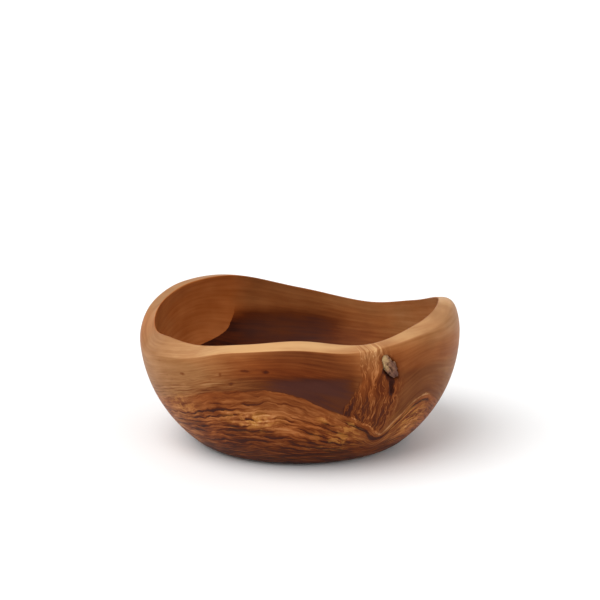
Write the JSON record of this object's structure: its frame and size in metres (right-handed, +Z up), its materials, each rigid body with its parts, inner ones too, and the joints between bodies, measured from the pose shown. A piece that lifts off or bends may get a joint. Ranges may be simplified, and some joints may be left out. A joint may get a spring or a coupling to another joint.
{
  "type": "yarn bowl",
  "caption": "Hand-carved olive-wood yarn bowl: a round, open, thick-walled bowl with a waving bevelled rim, a flat foot and a bark-filled knot in its wall.",
  "frame": {"origin": "centre of the flat base, on the surface that the bowl stands on", "axes": "+Z up out of the bowl's mouth; -Y towards the side with the low front crest of the rim, with the bark-filled knot to the right of it, at azimuth 301 degrees; +X towards the rim's right-hand crest"},
  "size_m": [0.16, 0.16, 0.0728],
  "materials": {
    "olive_wood": "oiled and polished, satin",
    "bark": "rough natural bark, matt"
  },
  "bodies": {
    "root": {"bowl_body": "olive_wood", "bark_inclusion": "bark"}
  },
  "joints": []
}
